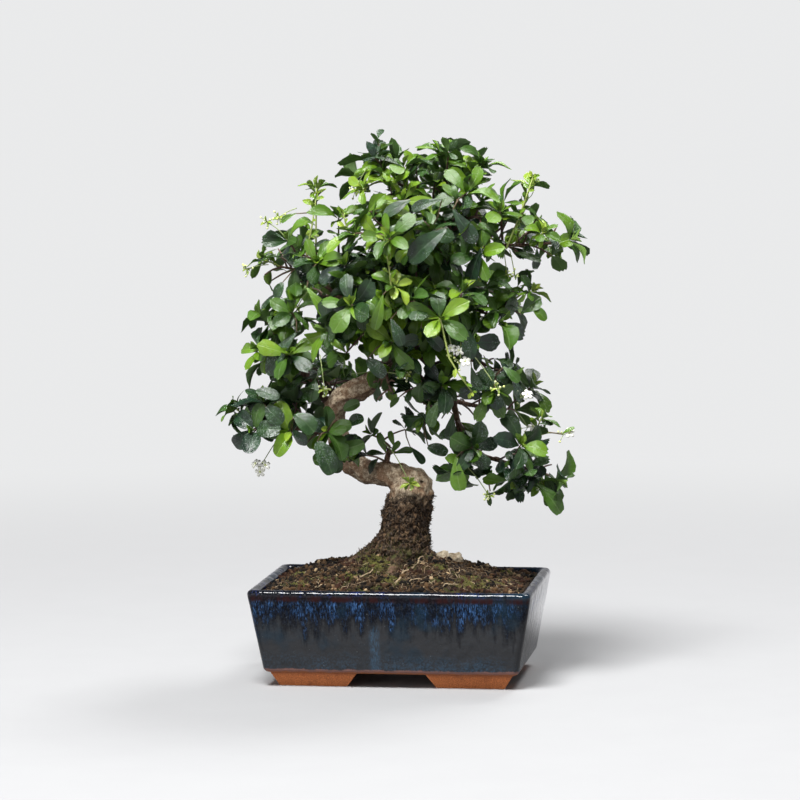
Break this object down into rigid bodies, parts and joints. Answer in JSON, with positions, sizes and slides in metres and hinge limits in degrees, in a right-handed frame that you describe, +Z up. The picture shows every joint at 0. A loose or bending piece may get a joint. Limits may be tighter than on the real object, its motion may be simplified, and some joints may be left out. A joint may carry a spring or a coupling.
{
  "type": "bonsai tree",
  "caption": "Fukien tea bonsai: gnarled bent trunk with a broad leafy crown, rooted in a soil mound that fills a glazed rectangular pot on four corner feet.",
  "frame": {"origin": "middle of the pot's footprint, on the surface that its feet stand on", "axes": "+Z up, +X to the right of the pictured front, -Y out of the pictured front; the pot's long side runs along X"},
  "size_m": [0.3475, 0.2463, 0.4947],
  "materials": {
    "glaze": "gloss",
    "screen": "matte",
    "soil": "matte",
    "pebble": "matte",
    "bark": "matte",
    "leaf": "satin",
    "young_leaf": "satin",
    "flower": "matte"
  },
  "bodies": {
    "root": {"pot": "glaze", "drain_screen_left": "screen", "drain_screen_right": "screen", "soil": "soil", "pebble_left": "pebble", "pebble_right": "pebble", "trunk_and_branches": "bark", "leaves_left_low_1": "leaf", "leaves_left_low_2": "leaf", "leaves_left_low_3": "leaf", "leaves_left_low_4": "leaf", "leaves_left_mid_1": "leaf", "leaves_left_mid_2": "leaf", "leaves_left_mid_3": "leaf", "leaves_left_high_1": "leaf", "leaves_left_high_2": "leaf", "leaves_left_high_3": "leaf", "leaves_front_1": "leaf", "leaves_front_2": "leaf", "leaves_front_3": "leaf", "leaves_front_4": "leaf", "leaves_front_5": "leaf", "leaves_front_6": "leaf", "leaves_right_low_1": "leaf", "leaves_right_low_2": "leaf", "leaves_right_low_3": "leaf", "leaves_right_low_4": "leaf", "leaves_right_fork": "leaf", "leaves_right_mid": "leaf", "leaves_right_high_1": "leaf", "leaves_right_high_2": "leaf", "leaves_right_high_3": "leaf", "leaves_apex_1": "leaf", "leaves_apex_2": "leaf", "leaves_apex_3": "leaf", "leaves_apex_4": "leaf", "leaves_apex_5": "leaf", "leaves_back_1": "leaf", "leaves_back_2": "leaf", "leaves_back_3": "leaf", "leaves_back_4": "leaf", "leaves_back_5": "leaf", "leaves_back_6": "leaf", "leaves_back_7": "leaf", "leaves_back_8": "leaf", "leaves_elbow": "leaf", "shoot_left_low": "young_leaf", "shoot_left_high": "young_leaf", "shoot_left_tall": "young_leaf", "shoot_front": "young_leaf", "shoot_apex": "young_leaf", "shoot_right_tall": "young_leaf", "shoot_right_high": "young_leaf", "shoot_right_mid": "young_leaf", "shoot_right_low": "young_leaf", "flowers_left_low": "flower", "flowers_left_high": "flower", "flowers_elbow": "flower", "flowers_front_right": "flower", "flowers_right_low": "flower"}
  },
  "joints": []
}
